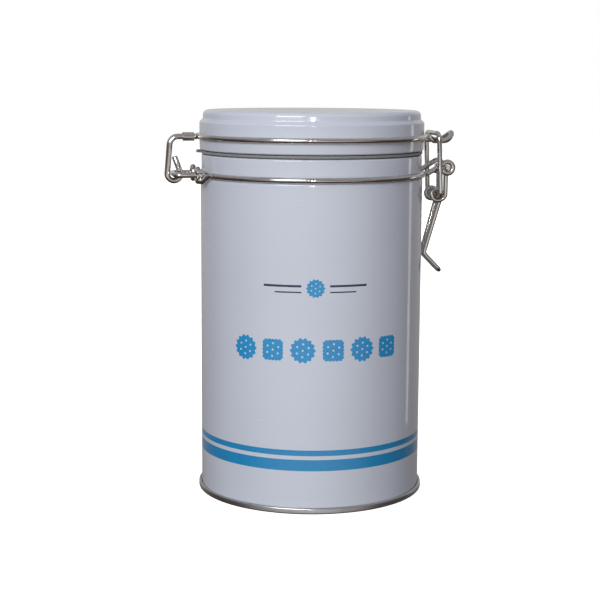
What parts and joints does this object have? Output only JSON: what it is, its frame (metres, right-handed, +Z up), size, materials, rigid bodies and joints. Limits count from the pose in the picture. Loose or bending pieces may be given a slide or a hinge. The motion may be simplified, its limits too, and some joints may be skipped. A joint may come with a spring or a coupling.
{
  "type": "clip-top storage tin",
  "caption": "Tall round lidded tin for biscuits, with a seamed base, a sealed lid on a wire hinge and an over-centre wire latch with a lever and a link.",
  "frame": {"origin": "centre of the base, on the plane that the tin stands on", "axes": "+Z up, +X towards the latch with the hinge on -X, so the hinge pin and the latch pivots run along Y"},
  "size_m": [0.1397, 0.1108, 0.1818],
  "materials": {
    "white_lacquer": "gloss lacquer on tinplate",
    "bare_tinplate": "bare tinplate, dull grey",
    "grey_silicone": "matt translucent grey",
    "nickel_wire": "bright nickel plate"
  },
  "bodies": {
    "tin": {"body_wall": "white_lacquer", "base_end": "bare_tinplate", "body_ring_front": "nickel_wire", "body_ring_rear": "nickel_wire", "hinge_yoke": "nickel_wire"},
    "lid": {"lid_shell": "white_lacquer", "lid_liner": "bare_tinplate", "lid_seal": "grey_silicone", "lid_ring": "nickel_wire", "ring_ferrule": "nickel_wire"},
    "lever": {"latch_lever": "nickel_wire"},
    "link": {"latch_link": "nickel_wire"}
  },
  "joints": [
    {"name": "lid_hinge", "type": "hinge", "parent": "tin", "child": "lid", "pos_m": [-0.0657, 0, 0.152], "axis": [0, -1, 0], "range_deg": [0, 205]},
    {"name": "lever_pivot", "type": "hinge", "parent": "tin", "child": "lever", "pos_m": [0.0645, 0, 0.1547], "axis": [0, -1, 0], "range_deg": [0, 120]},
    {"name": "link_pivot", "type": "hinge", "parent": "lever", "child": "link", "pos_m": [0.0606, 0, 0.1416], "axis": [0, -1, 0], "range_deg": [-90, 0]}
  ],
  "couplings": [
    {"joint": "link_pivot", "follows": "lever_pivot", "ratio": -0.75}
  ]
}
